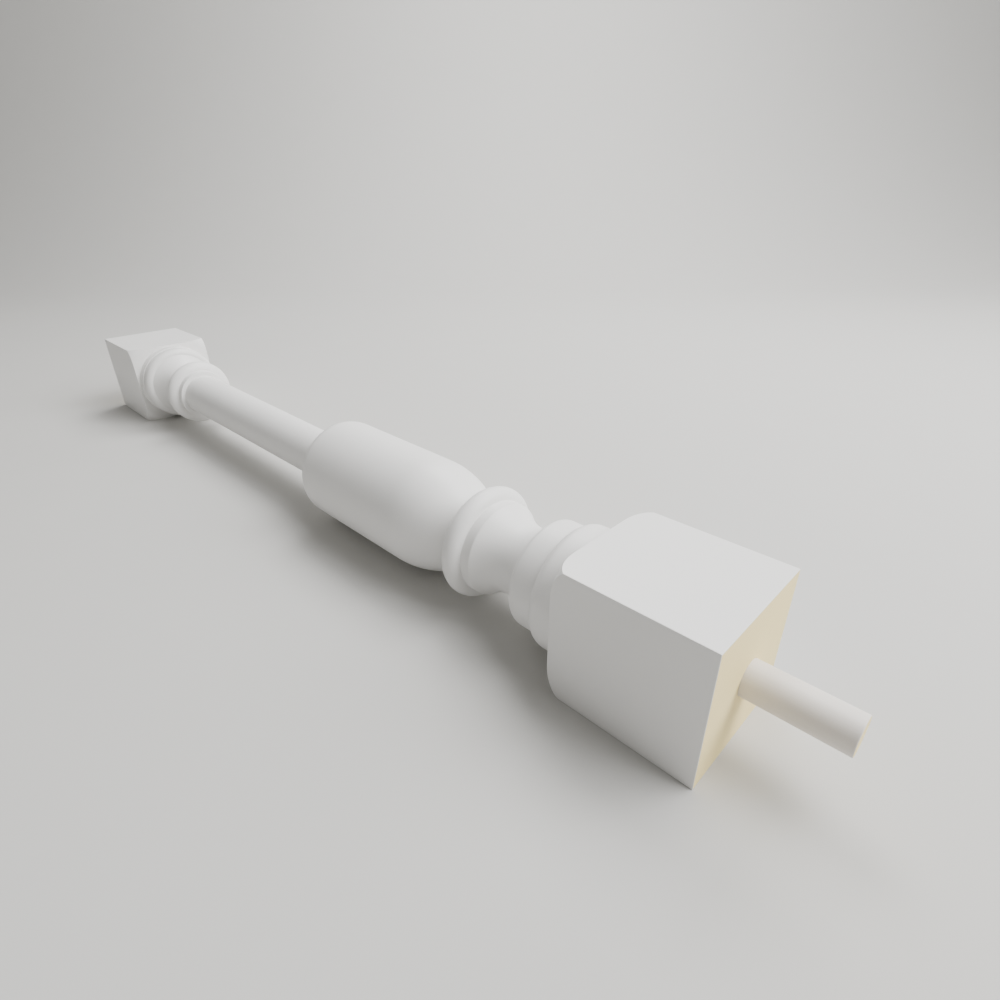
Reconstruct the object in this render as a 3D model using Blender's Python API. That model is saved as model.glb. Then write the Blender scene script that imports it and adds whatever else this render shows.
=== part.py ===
"""A turned stair baluster lying on its side, with a round dowel in its bottom end.

The baluster is one piece, turned from a square blank. Its solid is made the same
way: the square blank is cut back to a turned outline, so both ends keep the
blank's flat sides and all between them is round. It lies along X on the
undersides of its two blocks, with the bottom end and its dowel towards +X.
Units are metres, +Z is up, and the origin is under the middle of the whole length.
"""
import math

import bmesh
import bpy
from mathutils import Matrix, Vector

MM = 0.001

# The square blank and the blocks that it leaves at the two ends
BLOCK_WIDTH = 82.6 * MM
BOTTOM_BLOCK_LENGTH = 88.5 * MM
TOP_BLOCK_LENGTH = 88.9 * MM
SHOULDER_ROUND = 13.0 * MM
LATHE_MARGIN = 1.0 * MM

# The two stepped rings above the bottom block
BASE_RING_RADIUS = 39.1 * MM
BASE_RING_LENGTH = 19.3 * MM
BASE_RING_ROUND = 6.2 * MM
STEP_RING_RADIUS = 34.7 * MM
STEP_RING_LENGTH = 18.1 * MM
STEP_RING_ROUND = 4.2 * MM

# The hollow above them, and the fillet and the bead under the vase
BASE_HOLLOW_FOOT_RADIUS = 27.5 * MM
BASE_HOLLOW_LENGTH = 34.9 * MM
BASE_HOLLOW_DEPTH = 6.1 * MM
COLLAR_RADIUS = 31.0 * MM
COLLAR_LENGTH = 7.0 * MM
BEAD_WIDTH = 13.8 * MM
BEAD_HEIGHT = 6.9 * MM

# The vase
VASE_FOOT_RADIUS = 24.5 * MM
VASE_FOOT_LENGTH = 7.3 * MM
VASE_RISE_LENGTH = 45.0 * MM
VASE_RADIUS = 39.5 * MM
VASE_STRAIGHT_LENGTH = 103.0 * MM
VASE_SHOULDER_ROUND = 12.7 * MM

# The slender shaft, which widens a little towards the top
SHAFT_FOOT_RADIUS = 19.8 * MM
SHAFT_HEAD_RADIUS = 20.9 * MM
SHAFT_LENGTH = 268.1 * MM

# The fillet, the bead and the hollow at the top of the shaft
CAP_FILLET_RADIUS = 25.1 * MM
CAP_FILLET_LENGTH = 7.3 * MM
CAP_BEAD_WIDTH = 15.0 * MM
CAP_BEAD_HEIGHT = 8.4 * MM
CAP_HOLLOW_FOOT_RADIUS = 20.5 * MM
CAP_HOLLOW_LENGTH = 38.0 * MM
CAP_HOLLOW_DEPTH = 6.0 * MM
CAP_HOLLOW_HEAD_RADIUS = 33.0 * MM

# The two stepped rings under the top block
CAP_STEP_RADIUS = 39.2 * MM
CAP_STEP_LENGTH = 11.5 * MM
CAP_STEP_ROUND = 5.6 * MM
CAP_RING_RADIUS = 39.9 * MM
CAP_RING_LENGTH = 9.3 * MM

# The dowel, and the socket bored for it in the bottom end
DOWEL_RADIUS = 10.0 * MM
DOWEL_PROJECTION = 50.0 * MM
DOWEL_SEAT_DEPTH = 50.0 * MM
DOWEL_CHAMFER = 0.6 * MM
SOCKET_CLEARANCE = 0.3 * MM

# How finely the round forms are faceted
TURNED_SIDES = 48
DOWEL_SIDES = 32
SMOOTH_ANGLE = math.radians(30)


class TurnedOutline:
    """The radius of the turned work, walked from the bottom end to the top end.

    Each call adds one moulding and leaves the last point where it ends. A point
    is (distance from the bottom end, radius).
    """

    def __init__(self, start, radius):
        self.points = [(start, radius)]

    def add(self, distance, radius):
        self.points.append((distance, radius))

    def run(self, length):
        """A stretch of one radius."""
        distance, radius = self.points[-1]
        self.add(distance + length, radius)

    def face(self, radius):
        """A flat ring face, square to the axis."""
        self.add(self.points[-1][0], radius)

    def taper(self, length, end_radius):
        self.add(self.points[-1][0] + length, end_radius)

    def round_off(self, size, end_radius, steps):
        """A convex rounding that starts level and falls to end_radius."""
        start, top = self.points[-1]
        sweep = math.acos(max(0.0, 1 - (top - end_radius) / size))
        for step in range(1, steps + 1):
            angle = sweep * step / steps
            self.add(start + size * math.sin(angle), top - size * (1 - math.cos(angle)))

    def round_up(self, size, steps):
        """A convex quarter rounding that rises steeply and ends level."""
        start, foot = self.points[-1]
        for step in range(1, steps + 1):
            angle = math.pi / 2 * step / steps
            self.add(start + size * (1 - math.cos(angle)), foot + size * math.sin(angle))

    def bead(self, width, height, steps):
        """A half-round bead standing on the last radius."""
        start, base = self.points[-1]
        for step in range(1, steps + 1):
            angle = math.pi * step / steps
            along = width / 2 * (1 - math.cos(angle))
            self.add(start + along, base + height * math.sin(angle))

    def hollow(self, length, end_radius, depth, steps):
        """A cove: the arc that sinks by depth below the straight line to its end."""
        start, first_radius = self.points[-1]
        for step in range(1, steps + 1):
            share = step / steps
            line = first_radius + (end_radius - first_radius) * share
            self.add(start + length * share, line - depth * 4 * share * (1 - share))

    def swell(self, length, end_radius, steps):
        """A convex arc of one radius of curvature that ends level at end_radius."""
        start, first_radius = self.points[-1]
        rise = end_radius - first_radius
        curvature_radius = (length ** 2 + rise ** 2) / (2 * rise)
        first_angle = math.asin(length / curvature_radius)
        for step in range(1, steps + 1):
            angle = first_angle * (1 - step / steps)
            self.add(start + length - curvature_radius * math.sin(angle),
                     end_radius - curvature_radius * (1 - math.cos(angle)))

    def length(self):
        return self.points[-1][0]


def blank_corner_radius():
    return BLOCK_WIDTH / 2 * math.sqrt(2)


def baluster_outline():
    """The whole turned outline, from the bottom block's end to the top block's end."""
    outside = blank_corner_radius() + LATHE_MARGIN
    outline = TurnedOutline(0, outside)

    outline.run(BOTTOM_BLOCK_LENGTH - SHOULDER_ROUND)
    outline.round_off(SHOULDER_ROUND, outside - SHOULDER_ROUND, 5)

    outline.face(BASE_RING_RADIUS)
    outline.run(BASE_RING_LENGTH - BASE_RING_ROUND)
    outline.round_off(BASE_RING_ROUND, STEP_RING_RADIUS, 4)
    outline.run(STEP_RING_LENGTH - STEP_RING_ROUND)
    outline.round_off(STEP_RING_ROUND, STEP_RING_RADIUS - STEP_RING_ROUND, 4)

    outline.face(BASE_HOLLOW_FOOT_RADIUS)
    outline.hollow(BASE_HOLLOW_LENGTH, COLLAR_RADIUS, BASE_HOLLOW_DEPTH, 6)
    outline.run(COLLAR_LENGTH)
    outline.bead(BEAD_WIDTH, BEAD_HEIGHT, 8)

    outline.face(VASE_FOOT_RADIUS)
    outline.run(VASE_FOOT_LENGTH)
    outline.swell(VASE_RISE_LENGTH, VASE_RADIUS, 6)
    outline.run(VASE_STRAIGHT_LENGTH)
    outline.round_off(VASE_SHOULDER_ROUND, VASE_RADIUS - VASE_SHOULDER_ROUND, 5)

    outline.face(SHAFT_FOOT_RADIUS)
    outline.taper(SHAFT_LENGTH, SHAFT_HEAD_RADIUS)

    outline.face(CAP_FILLET_RADIUS)
    outline.run(CAP_FILLET_LENGTH)
    outline.bead(CAP_BEAD_WIDTH, CAP_BEAD_HEIGHT, 8)
    outline.face(CAP_HOLLOW_FOOT_RADIUS)
    outline.hollow(CAP_HOLLOW_LENGTH, CAP_HOLLOW_HEAD_RADIUS, CAP_HOLLOW_DEPTH, 6)

    outline.face(CAP_STEP_RADIUS - CAP_STEP_ROUND)
    outline.round_up(CAP_STEP_ROUND, 4)
    outline.run(CAP_STEP_LENGTH - CAP_STEP_ROUND)
    outline.face(CAP_RING_RADIUS)
    outline.run(CAP_RING_LENGTH)

    outline.face(outside - SHOULDER_ROUND)
    outline.round_up(SHOULDER_ROUND, 5)
    outline.run(TOP_BLOCK_LENGTH - SHOULDER_ROUND)
    return outline


def body_length():
    return baluster_outline().length()


def bottom_end_x():
    """Where the bottom end lies, with the origin under the middle of the whole."""
    return (body_length() + DOWEL_PROJECTION) / 2 - DOWEL_PROJECTION


def clear_scene():
    for thing in list(bpy.data.objects):
        bpy.data.objects.remove(thing, do_unlink=True)


def paint(name, colour, roughness):
    material = bpy.data.materials.new(name)
    material.use_nodes = True
    shader = material.node_tree.nodes["Principled BSDF"]
    shader.inputs["Base Color"].default_value = (*colour, 1.0)
    shader.inputs["Roughness"].default_value = roughness
    shader.inputs["Metallic"].default_value = 0.0
    return material


def shade(mesh):
    mesh.shade_smooth()
    mesh.set_sharp_from_angle(angle=SMOOTH_ANGLE)


def new_object(name, work, material=None):
    """Turn a bmesh into a named object, shaded smooth but for its sharp edges."""
    bmesh.ops.recalc_face_normals(work, faces=work.faces)
    mesh = bpy.data.meshes.new(name)
    work.to_mesh(mesh)
    work.free()
    shade(mesh)
    thing = bpy.data.objects.new(name, mesh)
    if material:
        mesh.materials.append(material)
    bpy.context.scene.collection.objects.link(thing)
    return thing


def turned_solid(name, points, sides, material=None):
    """Turn an outline about X. It runs from X = 0 towards -X, and its ends are closed."""
    work = bmesh.new()
    rim = [work.verts.new((-distance, 0, radius)) for distance, radius in points]
    first = work.verts.new((-points[0][0], 0, 0))
    last = work.verts.new((-points[-1][0], 0, 0))
    chain = [first, *rim, last]
    edges = [work.edges.new(pair) for pair in zip(chain, chain[1:])]
    bmesh.ops.spin(work, geom=chain + edges, cent=(0, 0, 0), axis=(1, 0, 0),
                   angle=2 * math.pi, steps=sides, use_merge=True)
    bmesh.ops.remove_doubles(work, verts=work.verts, dist=0.01 * MM)
    return new_object(name, work, material)


def cut(thing, cutter, operation):
    """Cut a solid with another one, which is then removed, and keep its edges crisp."""
    modifier = thing.modifiers.new(cutter.name, "BOOLEAN")
    modifier.object = cutter
    modifier.operation = operation
    modifier.solver = "EXACT"
    graph = bpy.context.evaluated_depsgraph_get()
    mesh = bpy.data.meshes.new_from_object(thing.evaluated_get(graph), depsgraph=graph)
    shade(mesh)
    mesh.name = thing.name
    thing.modifiers.clear()
    thing.data = mesh
    bpy.data.objects.remove(cutter, do_unlink=True)


def square_blank(name, material):
    """The square stock, from X = 0 at the bottom end to the top end."""
    length = body_length()
    work = bmesh.new()
    size = Matrix.Diagonal((length, BLOCK_WIDTH, BLOCK_WIDTH, 1))
    place = Matrix.Translation(Vector((-length / 2, 0, 0)))
    bmesh.ops.create_cube(work, size=1, matrix=place @ size)
    return new_object(name, work, material)


def lathe_cut():
    """The turned work as a solid, longer than the blank so that it leaves its ends."""
    points = baluster_outline().points
    outside = points[0][1]
    overrun = [(points[0][0] - BLOCK_WIDTH, outside)]
    overrun += points[1:-1]
    overrun += [(points[-1][0] + BLOCK_WIDTH, outside)]
    return turned_solid("lathe_cut", overrun, TURNED_SIDES)


def socket_cut():
    """The dowel's bore, with its clearance, through the bottom end's face."""
    radius = DOWEL_RADIUS + SOCKET_CLEARANCE
    depth = DOWEL_SEAT_DEPTH + SOCKET_CLEARANCE
    points = [(-depth, radius), (depth, radius)]
    return turned_solid("socket_cut", points, DOWEL_SIDES)


def baluster(origin):
    coat = paint("primed_white", (0.80, 0.79, 0.77), 0.55)
    body = square_blank("turned_baluster", coat)
    cut(body, lathe_cut(), "INTERSECT")
    cut(body, socket_cut(), "DIFFERENCE")
    body.location = (bottom_end_x(), 0, BLOCK_WIDTH / 2)
    body.parent = origin
    return body


def dowel(origin):
    coat = paint("dowel_white", (0.79, 0.76, 0.73), 0.5)
    half = DOWEL_RADIUS - DOWEL_CHAMFER
    points = [
        (-DOWEL_PROJECTION, half),
        (-DOWEL_PROJECTION + DOWEL_CHAMFER, DOWEL_RADIUS),
        (DOWEL_SEAT_DEPTH - DOWEL_CHAMFER, DOWEL_RADIUS),
        (DOWEL_SEAT_DEPTH, half),
    ]
    pin = turned_solid("end_dowel", points, DOWEL_SIDES, coat)
    pin.location = (bottom_end_x(), 0, BLOCK_WIDTH / 2)
    pin.parent = origin
    return pin


def main():
    clear_scene()
    origin = bpy.data.objects.new("baluster_origin", None)
    bpy.context.scene.collection.objects.link(origin)
    baluster(origin)
    dowel(origin)


main()
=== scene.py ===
# %% [markdown]
# # A primed stair baluster
#
# This lesson dresses one turned wooden baluster. The engineering model already
# says where each solid lies, so the first cell loads it as a fixed frame, and
# the pieces made here take the places of its two nodes.

# %% The frame
import math
import bpy
from mathutils import Matrix, Vector


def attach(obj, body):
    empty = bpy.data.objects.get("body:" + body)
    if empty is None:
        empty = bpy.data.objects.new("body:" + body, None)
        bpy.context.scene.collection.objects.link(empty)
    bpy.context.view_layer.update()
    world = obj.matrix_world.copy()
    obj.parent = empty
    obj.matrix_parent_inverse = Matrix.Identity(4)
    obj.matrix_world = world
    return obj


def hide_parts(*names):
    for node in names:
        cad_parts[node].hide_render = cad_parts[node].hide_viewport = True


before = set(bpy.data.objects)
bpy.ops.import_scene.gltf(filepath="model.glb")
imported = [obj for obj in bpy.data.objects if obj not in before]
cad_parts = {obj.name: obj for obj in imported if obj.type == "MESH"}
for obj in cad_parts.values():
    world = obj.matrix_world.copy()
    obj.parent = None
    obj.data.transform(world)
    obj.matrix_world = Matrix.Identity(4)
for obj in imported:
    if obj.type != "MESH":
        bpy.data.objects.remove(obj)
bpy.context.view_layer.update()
MM = 0.001

# %% [markdown]
# ## The camera
#
# The photograph looks down along the baluster from beside its bottom end, with
# a wide lens, so the far block looks small. The place and the turn below come
# from fitting a camera to the corners of the two square blocks.

# %% The camera
camera_place = (0.43194, -0.23184, 0.25075)
camera_turn = (61.716, 0.424, 44.089)

camera_data = bpy.data.cameras.new("photo_camera")
camera_data.sensor_width = 36
camera_data.lens = 21.584
camera_data.clip_start = 0.01
camera = bpy.data.objects.new("photo_camera", camera_data)
bpy.context.scene.collection.objects.link(camera)
camera.location = camera_place
camera.rotation_euler = [math.radians(angle) for angle in camera_turn]
bpy.context.scene.camera = camera
print("Camera height in mm:", camera.location.z / MM)

# %% [markdown]
# ## Sizes
#
# All sizes are in millimetres. A turner marks the stick off from one end, so
# each moulding has its own length along the axis and its own radius, and its
# sizes stand in the cell that turns it.

# %% The stick and its blocks
block_width = 82.6
bottom_block_length = 88.5
top_block_length = 88.9
shoulder_round = 13.0
print("Blocks, across and along in mm:", block_width, bottom_block_length, top_block_length)

# %% [markdown]
# ## The turned outline
#
# On the real stick every moulding is turned from the same wood, so the whole
# form is one line swung round an axis. It could be stacked up from discs, cones
# and rings, but their joints would have to be hidden, and one line needs none.
# The line is written as a walk from the bottom end to the top end: level runs,
# square faces, hollows, beads and roundings. Each step adds points of
# (distance, radius).

# %% The start of the walk, and its straight steps
lathe_margin = 1.0
outside = block_width / 2 * math.sqrt(2) + lathe_margin
outline = [(-block_width, 0), (-block_width, outside), (0, outside)]


def go(length, radius):
    outline.append((outline[-1][0] + length, radius))


def run(length):
    go(length, outline[-1][1])


def face(radius):
    go(0, radius)


def tell(what):
    distance, radius = outline[-1]
    print(what, "to", round(distance, 1), "mm, radius", round(radius, 1))


tell("Straight cut outside the blank")

# %% Roundings
corner_steps = 8
shoulder_steps = 12


def round_off(size, end_radius, steps=corner_steps):
    start, top = outline[-1]
    sweep = math.acos(max(0.0, 1 - (top - end_radius) / size))
    for step in range(1, steps + 1):
        angle = sweep * step / steps
        outline.append((start + size * math.sin(angle), top - size * (1 - math.cos(angle))))


def round_up(size, steps=corner_steps):
    start, foot = outline[-1]
    for step in range(1, steps + 1):
        angle = math.pi / 2 * step / steps
        outline.append((start + size * (1 - math.cos(angle)), foot + size * math.sin(angle)))


print("Steps in a corner and in a shoulder:", corner_steps, shoulder_steps)

# %% Beads, hollows and the vase's swell
bead_steps = 18
curve_steps = 14


def bead(width, height, steps=bead_steps):
    start, base = outline[-1]
    for step in range(1, steps + 1):
        angle = math.pi * step / steps
        along = width / 2 * (1 - math.cos(angle))
        outline.append((start + along, base + height * math.sin(angle)))


def hollow(length, end_radius, depth, steps=curve_steps):
    start, first = outline[-1]
    for step in range(1, steps + 1):
        share = step / steps
        line = first + (end_radius - first) * share
        outline.append((start + length * share, line - depth * 4 * share * (1 - share)))


def swell(length, end_radius, steps=curve_steps):
    start, first = outline[-1]
    rise = end_radius - first
    bow = (length ** 2 + rise ** 2) / (2 * rise)
    first_angle = math.asin(length / bow)
    for step in range(1, steps + 1):
        angle = first_angle * (1 - step / steps)
        outline.append((start + length - bow * math.sin(angle),
                        end_radius - bow * (1 - math.cos(angle))))


print("Steps in a bead and in a curve:", bead_steps, curve_steps)

# %% The bottom block and the two stepped rings
base_ring_radius = 39.1
base_ring_length = 19.3
base_ring_round = 6.2
step_ring_radius = 34.7
step_ring_length = 18.1
step_ring_round = 4.2

run(bottom_block_length - shoulder_round)
round_off(shoulder_round, outside - shoulder_round, shoulder_steps)
face(base_ring_radius)
run(base_ring_length - base_ring_round)
round_off(base_ring_round, step_ring_radius)
run(step_ring_length - step_ring_round)
round_off(step_ring_round, step_ring_radius - step_ring_round)
tell("Bottom block and rings")

# %% The hollow, the collar and the bead under the vase
hollow_foot_radius = 27.5
hollow_length = 34.9
hollow_depth = 6.1
collar_radius = 31.0
collar_length = 7.0
bead_width = 13.8
bead_height = 6.9

face(hollow_foot_radius)
hollow(hollow_length, collar_radius, hollow_depth)
run(collar_length)
bead(bead_width, bead_height)
tell("Hollow, collar and bead")

# %% The vase
vase_foot_radius = 24.5
vase_foot_length = 7.3
vase_rise_length = 45.0
vase_radius = 39.5
vase_straight_length = 103.0
vase_shoulder_round = 12.7

face(vase_foot_radius)
run(vase_foot_length)
swell(vase_rise_length, vase_radius)
run(vase_straight_length)
round_off(vase_shoulder_round, vase_radius - vase_shoulder_round, shoulder_steps)
tell("Vase")

# %% The shaft, which widens a little towards the top
shaft_foot_radius = 19.8
shaft_head_radius = 20.9
shaft_length = 268.1

face(shaft_foot_radius)
go(shaft_length, shaft_head_radius)
tell("Shaft")

# %% The fillet, the bead and the upper hollow
cap_fillet_radius = 25.1
cap_fillet_length = 7.3
cap_bead_width = 15.0
cap_bead_height = 8.4
cap_hollow_foot_radius = 20.5
cap_hollow_head_radius = 33.0
cap_hollow_length = 38.0
cap_hollow_depth = 6.0

face(cap_fillet_radius)
run(cap_fillet_length)
bead(cap_bead_width, cap_bead_height)
face(cap_hollow_foot_radius)
hollow(cap_hollow_length, cap_hollow_head_radius, cap_hollow_depth)
tell("Fillet, bead and upper hollow")

# %% The rings under the top block, and the block
cap_step_radius = 39.2
cap_step_length = 11.5
cap_step_round = 5.6
cap_ring_radius = 39.9
cap_ring_length = 9.3

face(cap_step_radius - cap_step_round)
round_up(cap_step_round)
run(cap_step_length - cap_step_round)
face(cap_ring_radius)
run(cap_ring_length)
face(outside - shoulder_round)
round_up(shoulder_round, shoulder_steps)
run(top_block_length - shoulder_round)
tell("Rings and top block")

# %% The end of the walk, and where the stick lies
dowel_projection = 50.0
body_length = outline[-1][0]
run(block_width)
face(0)
bottom_end = (body_length + dowel_projection) / 2 - dowel_projection
axis_height = block_width / 2
print("Body length in mm:", round(body_length, 2), "with", len(outline), "outline points")

# %% [markdown]
# ## Drawing the outline and swinging it round
#
# Primer fills every inside corner a little and softens every arris, so the
# corners of the outline get a small rounding before it is spun. That is what
# lets light catch the edges. The outline is drawn as by hand: one point,
# extruded again and again, then a vertex bevel, then a spin about the axis. A
# Screw modifier would swing the line round as well, but a bevel after it would
# have to find hundreds of edges, and here it finds a few points.

# %% Draw the outline
def deselect():
    if bpy.context.object and bpy.context.object.mode != "OBJECT":
        bpy.ops.object.mode_set(mode="OBJECT")
    bpy.ops.object.select_all(action="DESELECT")


def point_at(distance, radius):
    return Vector(((bottom_end - distance) * MM, 0, (axis_height + radius) * MM))


deselect()
bpy.ops.mesh.primitive_plane_add(size=1 * MM)
lathe_work = bpy.context.object
lathe_work.name = "lathe_work"
bpy.ops.object.mode_set(mode="EDIT")
bpy.ops.mesh.select_mode(type="VERT")
bpy.ops.mesh.merge(type="CENTER")
bpy.ops.transform.translate(value=point_at(*outline[0]))
for here, there in zip(outline, outline[1:]):
    bpy.ops.mesh.extrude_vertices_move(
        TRANSFORM_OT_translate={"value": point_at(*there) - point_at(*here)})
bpy.ops.object.mode_set(mode="OBJECT")
print("Points drawn:", len(lathe_work.data.vertices))

# %% Soften its corners
corner_size = 0.45
corner_segments = 4
sharp_turn = 25


def turn_at(index):
    before, here, after = (Vector(outline[i]) for i in (index - 1, index, index + 1))
    return math.degrees((here - before).angle(after - here))


corners = [index for index in range(1, len(outline) - 1)
           if turn_at(index) > sharp_turn and outline[index][1] < outside]
for vertex in lathe_work.data.vertices:
    vertex.select = vertex.index in corners
bpy.ops.object.mode_set(mode="EDIT")
bpy.ops.mesh.bevel(affect="VERTICES", offset=corner_size * MM, segments=corner_segments)
print("Corners softened:", len(corners))

# %% Spin it
turned_sides = 176
weld_distance = 0.01

bpy.ops.mesh.select_all(action="SELECT")
bpy.ops.mesh.spin(steps=turned_sides, angle=2 * math.pi, center=(0, 0, axis_height * MM),
                  axis=(1, 0, 0))
bpy.ops.mesh.select_all(action="SELECT")
bpy.ops.mesh.remove_doubles(threshold=weld_distance * MM)
bpy.ops.mesh.normals_make_consistent(inside=False)
bpy.ops.object.mode_set(mode="OBJECT")
print("Turned faces:", len(lathe_work.data.polygons))

# %% [markdown]
# ## The square stick
#
# The blank is planed square, and its long edges are eased with one pass of
# sandpaper. Bevelling the whole cube would round the sawn ends too, and a saw
# leaves those sharp, so only the four long edges are bevelled. It is then cut
# back to the turned form, so the flat sides of the blocks and the curved
# shoulders that the lathe leaves meet in true edges.

# %% The planed blank
deselect()
bpy.ops.mesh.primitive_cube_add(
    size=1, location=((bottom_end - body_length / 2) * MM, 0, axis_height * MM))
baluster = bpy.context.object
baluster.name = "painted_baluster"
baluster.scale = (body_length * MM, block_width * MM, block_width * MM)
bpy.ops.object.transform_apply(location=True, rotation=True, scale=True)
print("Blank in mm:", [round(side / MM, 1) for side in baluster.dimensions])

# %% Its four long edges, eased
eased_edge = 0.4
edge_segments = 4


def unpick(mesh):
    for part in (mesh.vertices, mesh.edges, mesh.polygons):
        for item in part:
            item.select = False


mesh = baluster.data
unpick(mesh)
for edge in mesh.edges:
    first, second = (mesh.vertices[i].co for i in edge.vertices)
    edge.select = abs(first.x - second.x) > 0.5 * body_length * MM
bpy.ops.object.mode_set(mode="EDIT")
bpy.ops.mesh.select_mode(type="EDGE")
bpy.ops.mesh.bevel(affect="EDGES", offset=eased_edge * MM, segments=edge_segments)
bpy.ops.object.mode_set(mode="OBJECT")
print("Blank faces:", len(mesh.polygons))

# %% [markdown]
# ## Turning and boring
#
# A turner mounts the square blank on a lathe and cuts the round parts out of
# it. A Boolean that keeps what two solids share does the same work. The blocks
# could be separate cubes beside a spun middle, but then their curved shoulders,
# where flat sides run into turned ones, would have to be drawn by hand. A
# second Boolean takes away the bore for the dowel. Both tools are thrown away
# afterwards.

# %% Cut with a tool, and throw the tool away
def pick(piece):
    deselect()
    piece.select_set(True)
    bpy.context.view_layer.objects.active = piece


def cut(piece, tool, operation):
    pick(piece)
    modifier = piece.modifiers.new(tool.name, "BOOLEAN")
    modifier.object = tool
    modifier.operation = operation
    modifier.solver = "EXACT"
    bpy.ops.object.modifier_apply(modifier=modifier.name)
    bpy.data.objects.remove(tool, do_unlink=True)
    print(piece.name, "faces after", operation.lower() + ":", len(piece.data.polygons))


cut(baluster, lathe_work, "INTERSECT")

# %% The bore for the dowel
dowel_radius = 10.0
dowel_seat_depth = 50.0
socket_clearance = 0.12
bore_slack = 0.3
rod_sides = 96

bore_depth = dowel_seat_depth + bore_slack
deselect()
bpy.ops.mesh.primitive_cylinder_add(
    vertices=rod_sides, radius=(dowel_radius + socket_clearance) * MM,
    depth=2 * bore_depth * MM,
    location=(bottom_end * MM, 0, axis_height * MM), rotation=(0, math.pi / 2, 0))
cut(baluster, bpy.context.object, "DIFFERENCE")

# %% [markdown]
# ## The dowel
#
# The dowel is a rod glued in a bored hole, and its ends are taken down a little
# so that it starts into one. A cylinder would do, but a disc drawn out along
# the axis gives rims that are easy to select, so their bevel is one step.

# %% A disc drawn out into a rod
rod_length = dowel_projection + dowel_seat_depth

deselect()
bpy.ops.mesh.primitive_circle_add(
    vertices=rod_sides, radius=dowel_radius * MM, fill_type="NGON",
    location=((bottom_end - dowel_seat_depth) * MM, 0, axis_height * MM),
    rotation=(0, math.pi / 2, 0))
rod = bpy.context.object
rod.name = "painted_dowel"
bpy.ops.object.transform_apply(location=True, rotation=True, scale=True)
bpy.ops.object.mode_set(mode="EDIT")
bpy.ops.mesh.select_mode(type="FACE")
bpy.ops.mesh.select_all(action="SELECT")
bpy.ops.mesh.extrude_region_move(TRANSFORM_OT_translate={"value": (rod_length * MM, 0, 0)})
bpy.ops.mesh.select_all(action="SELECT")
bpy.ops.mesh.normals_make_consistent(inside=False)
bpy.ops.object.mode_set(mode="OBJECT")
print("Rod length in mm:", rod_length)

# %% Its rims, taken down
dowel_chamfer = 0.6
chamfer_segments = 3
end_facing = 0.9


def is_end(polygon):
    return abs(polygon.normal.x) > end_facing


unpick(rod.data)
for polygon in rod.data.polygons:
    polygon.select = is_end(polygon)
bpy.ops.object.mode_set(mode="EDIT")
bpy.ops.mesh.region_to_loop()
bpy.ops.mesh.bevel(affect="EDGES", offset=dowel_chamfer * MM, segments=chamfer_segments)
bpy.ops.object.mode_set(mode="OBJECT")
print("Dowel faces:", len(rod.data.polygons))

# %% [markdown]
# ## Shading
#
# A turned surface has no facets, so it is shaded smooth, while edges sharper
# than 40 degrees stay crisp. More sides would hide the facets as well, but only
# at the cost of a heavier mesh. Weighted normals keep the big flat sides flat
# right up to their eased edges.

# %% Shade both pieces
crisp_angle = 40
full_weight = 100


def shade(piece):
    pick(piece)
    bpy.ops.object.shade_smooth_by_angle(angle=math.radians(crisp_angle))
    modifier = piece.modifiers.new("weighted", "WEIGHTED_NORMAL")
    modifier.keep_sharp = True
    modifier.weight = full_weight
    bpy.ops.object.modifier_apply(modifier=modifier.name)
    print(piece.name, "is shaded smooth below", crisp_angle, "degrees")


for piece in (baluster, rod):
    shade(piece)

# %% [markdown]
# ## Materials
#
# Colours are chosen as sRGB hex values, as a paint chart gives them, and turned
# to the linear values that the shader needs. One small function adds a node,
# sets its values and makes its links.

# %% Colour helper
def linear(hex_colour):
    channels = [int(hex_colour[i:i + 2], 16) / 255 for i in (1, 3, 5)]
    curved = [c / 12.92 if c <= 0.04045 else ((c + 0.055) / 1.055) ** 2.4 for c in channels]
    return curved + [1.0]


print("Middle grey in linear values:", [round(c, 3) for c in linear("#808080")])

# %% Node helpers
MIX_FIRST = 6
MIX_SECOND = 7
MIX_RESULT = 2


def add(tree, kind, values=None, links=None, **settings):
    node = tree.nodes.new(kind)
    for name, value in settings.items():
        setattr(node, name, value)
    for socket, value in (values or {}).items():
        node.inputs[socket].default_value = value
    for socket, source in (links or {}).items():
        tree.links.new(source, node.inputs[socket])
    return node


def new_material(name, roughness, ior):
    material = bpy.data.materials.new(name)
    material.use_nodes = True
    shader = material.node_tree.nodes["Principled BSDF"]
    shader.inputs["Roughness"].default_value = roughness
    shader.inputs["IOR"].default_value = ior
    print("Material", name, "with roughness", roughness)
    return material, material.node_tree, shader


def per_metre(size):
    """The noise scale that gives features of about this size in mm."""
    return 1 / (size * MM)


print("Noise scale for features of 1 mm:", round(per_metre(1)))

# %% [markdown]
# ### Primer on wood
#
# The surface is a sprayed, low-sheen white alkyd primer on sanded basswood. It
# is an even white with three faint things in it: broad drifts of tone from
# uneven film, the orange peel of the spray at about 1 mm, and wood grain that
# shows through as shallow streaks along the stick. One flat colour would look
# like plastic. What gives primed wood away is how its highlights break up, so
# the peel and the grain are bumps, and only the drift is in the colour.

# %% Primed wood
drift_size = 90

primed, tree, shader = new_material("primed_basswood", roughness=0.43, ior=1.5)
place = add(tree, "ShaderNodeTexCoord").outputs["Object"]
drift = add(tree, "ShaderNodeTexNoise", {"Scale": per_metre(drift_size), "Detail": 2.0},
            {"Vector": place})
tone = add(tree, "ShaderNodeMix",
           {MIX_FIRST: linear("#E8E7E5"), MIX_SECOND: linear("#EFEEEC")},
           {"Factor": drift.outputs["Fac"]}, data_type="RGBA")
tree.links.new(tone.outputs[MIX_RESULT], shader.inputs["Base Color"])

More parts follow.
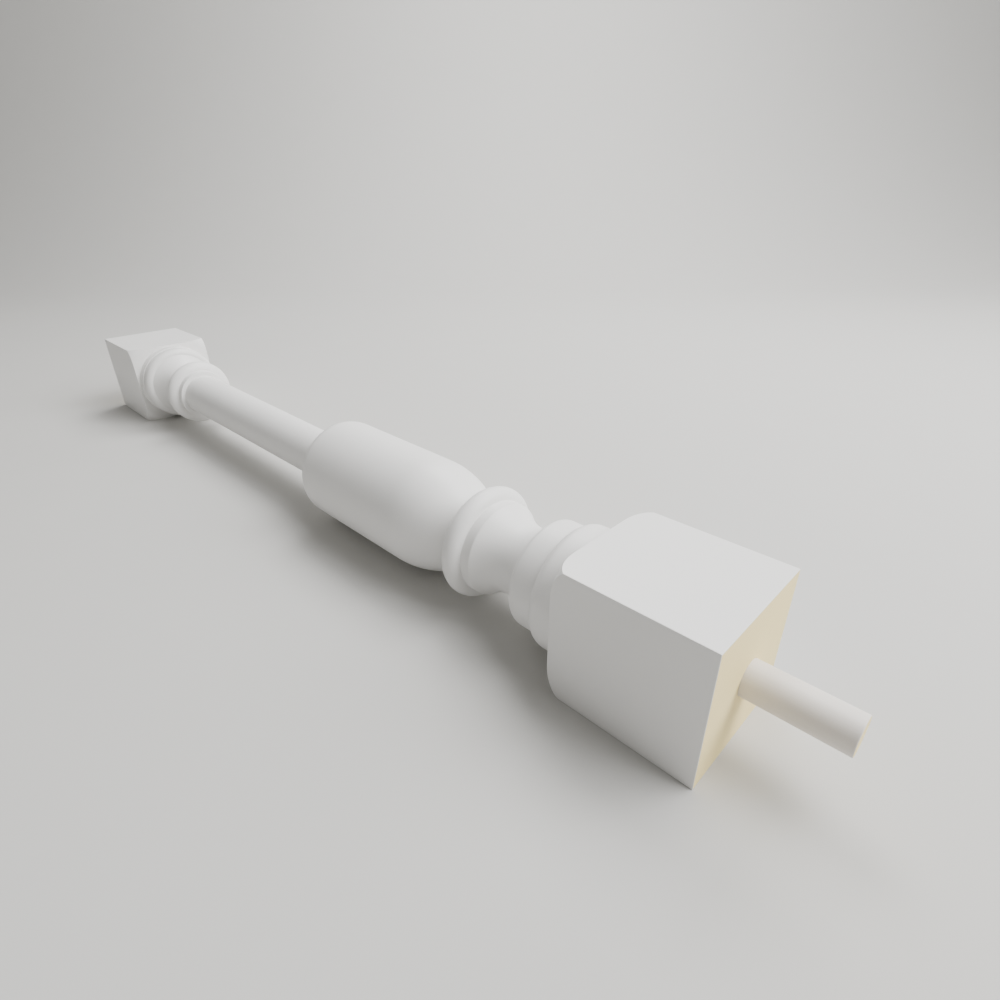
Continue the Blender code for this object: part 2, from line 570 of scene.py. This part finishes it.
# %% The primer's relief
peel_size = 1.1
peel_height = 0.02
streak_width = 1.6
streak_stretch = 0.035
streak_height = 0.03

peel = add(tree, "ShaderNodeTexNoise", {"Scale": per_metre(peel_size), "Detail": 1.0},
           {"Vector": place})
peel_bump = add(tree, "ShaderNodeBump", {"Strength": 0.35, "Distance": peel_height * MM},
                {"Height": peel.outputs["Fac"]})
along = add(tree, "ShaderNodeMapping", {"Scale": (streak_stretch, 1, 1)}, {"Vector": place})
streaks = add(tree, "ShaderNodeTexNoise", {"Scale": per_metre(streak_width), "Detail": 3.0},
              {"Vector": along.outputs["Vector"]})
grain_bump = add(tree, "ShaderNodeBump", {"Strength": 0.25, "Distance": streak_height * MM},
                 {"Height": streaks.outputs["Fac"], "Normal": peel_bump.outputs["Normal"]})
tree.links.new(grain_bump.outputs["Normal"], shader.inputs["Normal"])
print("Length of a streak in mm:", round(streak_width / streak_stretch))

# %% [markdown]
# ### Bare ends
#
# The stick is cut to length after it is primed, so its ends are bare sawn
# basswood, a pale cream wood whose rings hardly show. The rings are about 3 mm
# apart, round a heart that lies outside the stick, and the pores are drawn
# coarser than the real ones so that they show at all. The pattern is solid, as
# in the wood itself, so the bore shows the same rings as the end and no picture
# has to be wrapped round it.

# %% Bare basswood
ring_spacing = 3.0
wave_period = 0.314

bare, tree, shader = new_material("bare_basswood_end", roughness=0.7, ior=1.5)
place = add(tree, "ShaderNodeTexCoord").outputs["Object"]
heart = add(tree, "ShaderNodeMapping", {"Location": (0, -0.05, 0.03)}, {"Vector": place})
rings = add(tree, "ShaderNodeTexWave",
            {"Scale": wave_period / (ring_spacing * MM), "Distortion": 1.2,
             "Detail": 2.0, "Detail Scale": 1.5},
            {"Vector": heart.outputs["Vector"]}, wave_type="RINGS", rings_direction="X")
wood = add(tree, "ShaderNodeMix",
           {MIX_FIRST: linear("#FFECB0"), MIX_SECOND: linear("#FAE5A6")},
           {"Factor": rings.outputs["Fac"]}, data_type="RGBA")
tree.links.new(wood.outputs[MIX_RESULT], shader.inputs["Base Color"])

# %% Its pores and saw marks
pore_size = 0.5
saw_height = 0.04

pores = add(tree, "ShaderNodeTexNoise", {"Scale": per_metre(pore_size), "Detail": 2.0},
            {"Vector": place})
saw_bump = add(tree, "ShaderNodeBump", {"Strength": 0.4, "Distance": saw_height * MM},
               {"Height": pores.outputs["Fac"]})
tree.links.new(saw_bump.outputs["Normal"], shader.inputs["Normal"])
print("Nodes in", bare.name + ":", len(tree.nodes))

# %% [markdown]
# ### The dowel's coat
#
# The rod is primed too, with a thinner and slightly warmer coat, so the lines
# of the wood under it still show. It could share the stick's paint, but rods
# are bought ready painted, and next to the stick this one is a little darker.
# Its lines are a noise that is stretched along the rod.

# %% Coated dowel
line_width = 0.8
line_stretch = 0.04
line_height = 0.02

coated, tree, shader = new_material("primed_dowel", roughness=0.48, ior=1.47)
place = add(tree, "ShaderNodeTexCoord").outputs["Object"]
along = add(tree, "ShaderNodeMapping", {"Scale": (line_stretch, 1, 1)}, {"Vector": place})
lines = add(tree, "ShaderNodeTexNoise", {"Scale": per_metre(line_width), "Detail": 2.0},
            {"Vector": along.outputs["Vector"]})
warmth = add(tree, "ShaderNodeMix",
             {MIX_FIRST: linear("#E0DBD6"), MIX_SECOND: linear("#E6E1DC")},
             {"Factor": lines.outputs["Fac"]}, data_type="RGBA")
tree.links.new(warmth.outputs[MIX_RESULT], shader.inputs["Base Color"])
line_bump = add(tree, "ShaderNodeBump", {"Strength": 0.25, "Distance": line_height * MM},
                {"Height": lines.outputs["Fac"]})
tree.links.new(line_bump.outputs["Normal"], shader.inputs["Normal"])

# %% Paint the pieces: the coat all over, and bare wood on the sawn ends
square_on = 0.99
end_reach = 0.1
bore_wall_reach = 1
bore_reach = 60


def dress(piece, coat, is_bare):
    piece.data.materials.clear()
    piece.data.materials.append(coat)
    piece.data.materials.append(bare)
    count = 0
    for polygon in piece.data.polygons:
        polygon.material_index = int(is_bare(polygon))
        count += polygon.material_index
    print(piece.name, "has", count, "bare faces")


def sawn_or_bored(polygon):
    from_axis = math.hypot(polygon.center.y, polygon.center.z - axis_height * MM)
    at_end = abs(polygon.normal.x) > square_on and (
        polygon.center.x > (bottom_end - end_reach) * MM
        or polygon.center.x < (bottom_end - body_length + end_reach) * MM)
    in_bore = (from_axis < (dowel_radius + bore_wall_reach) * MM
               and polygon.center.x > (bottom_end - bore_reach) * MM)
    return at_end or in_bore


dress(baluster, primed, sawn_or_bored)
dress(rod, coated, is_end)

# %% [markdown]
# ## Putting the pieces on the frame
#
# Nothing moves on a baluster, so both pieces ride on its one body, and each
# stands for the node that it covers.

# %% Ride and replace
for piece, slot_name, node_name in ((baluster, "primed_wood", "turned_baluster"),
                                    (rod, "dowel_coat", "end_dowel")):
    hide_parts(node_name)
    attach(piece, "root")
    print(piece.name, "stands for", node_name)

# %% [markdown]
# ## The studio
#
# The floor is pale and runs up into a curved backdrop, so that no line shows
# where the wall begins. A photographer hangs one long roll of paper for this,
# and it is modelled the same way: a flat sheet whose far edge is extruded along
# a quarter circle, across the camera's line of sight. The paper is matt and a
# little greyer than the wood, so that white edges stand out from it. Its sizes
# are in metres.

# %% The floor
sight = math.radians(44.3)
forward = Vector((-math.sin(sight), math.cos(sight), 0))
floor_start = -3.0
floor_end = 1.5
studio_half_width = 5.0

deselect()
bpy.ops.mesh.primitive_plane_add(size=1)
studio = bpy.context.object
studio.name = "studio_floor"
floor_middle = Vector(camera.location.xy.to_3d()) + forward * (floor_start + floor_end) / 2
studio.matrix_world = Matrix.Translation(floor_middle) @ Matrix.Rotation(sight, 4, "Z")
studio.scale = (2 * studio_half_width, floor_end - floor_start, 1)
bpy.ops.object.transform_apply(location=True, rotation=True, scale=True)
print("Floor in m:", 2 * studio_half_width, "by", floor_end - floor_start)

# %% The backdrop, drawn up from the floor's far edge
cove_radius = 0.9
cove_steps = 24
wall_height = 3.0

unpick(studio.data)
for edge in studio.data.edges:
    ends = [(studio.data.vertices[i].co - floor_middle).dot(forward) for i in edge.vertices]
    edge.select = min(ends) > 0
bpy.ops.object.mode_set(mode="EDIT")
bpy.ops.mesh.select_mode(type="EDGE")
for step in range(cove_steps):
    angle = math.pi / 2 * (step + 0.5) / cove_steps
    length = 2 * cove_radius * math.sin(math.pi / 4 / cove_steps)
    move = forward * length * math.cos(angle) + Vector((0, 0, length * math.sin(angle)))
    bpy.ops.mesh.extrude_region_move(TRANSFORM_OT_translate={"value": move})
bpy.ops.mesh.extrude_region_move(TRANSFORM_OT_translate={"value": (0, 0, wall_height)})
bpy.ops.object.mode_set(mode="OBJECT")
pick(studio)
bpy.ops.object.shade_smooth()
print("Backdrop faces:", len(studio.data.polygons))

# %% The paper that covers them
fibre_size = 60

paper, tree, shader = new_material("backdrop_paper", roughness=0.9, ior=1.45)
place = add(tree, "ShaderNodeTexCoord").outputs["Object"]
fibre = add(tree, "ShaderNodeTexNoise", {"Scale": per_metre(fibre_size), "Detail": 2.0},
            {"Vector": place})
shade_of_grey = add(tree, "ShaderNodeMix",
                    {MIX_FIRST: linear("#C5C4C1"), MIX_SECOND: linear("#C7C6C3")},
                    {"Factor": fibre.outputs["Fac"]}, data_type="RGBA")
tree.links.new(shade_of_grey.outputs[MIX_RESULT], shader.inputs["Base Color"])
studio.data.materials.append(paper)

# %% [markdown]
# ## Light
#
# White wood on white paper shows its form by soft grey alone, so the light
# matters more than the paint. A large softbox high on the right, behind the
# stick, lights the tops and the faces towards the bottom end. A smaller one
# overhead keeps the roundings clear, a third one brightens the backdrop, and
# the room gives an even fill, so the near sides stay grey and the shadows stay
# soft. One single light could do it, but then the mouldings look flat or their
# shadows turn hard. Each light was first rendered alone, to see what it adds.

# %% Lights
on_the_stick = (0, 0, 0.03)
on_the_backdrop = (-0.6, 1.0, 0)


def softbox(name, where, target, size, power):
    data = bpy.data.lights.new(name, "AREA")
    data.shape = "SQUARE"
    data.size = size
    data.energy = power
    light = bpy.data.objects.new(name, data)
    bpy.context.scene.collection.objects.link(light)
    light.location = where
    beam = Vector(target) - Vector(where)
    light.rotation_euler = beam.to_track_quat("-Z", "Y").to_euler()
    print(name, "of", power, "W hangs", round(beam.length, 2), "m away")


softbox("side_softbox", (1.46, 0.84, 1.41), on_the_stick, size=1.6, power=65)
softbox("overhead_softbox", (0.48, 0.57, 1.3), on_the_stick, size=0.8, power=14)
softbox("backdrop_softbox", (-0.6, 1.0, 1.6), on_the_backdrop, size=0.9, power=29)

# %% The fill of the room
room_strength = 0.36

world = bpy.data.worlds.new("room")
bpy.context.scene.world = world
world.use_nodes = True
room = world.node_tree.nodes["Background"]
room.inputs["Color"].default_value = linear("#F6F5F1")
room.inputs["Strength"].default_value = room_strength
print("Strength of the room's light:", room_strength)
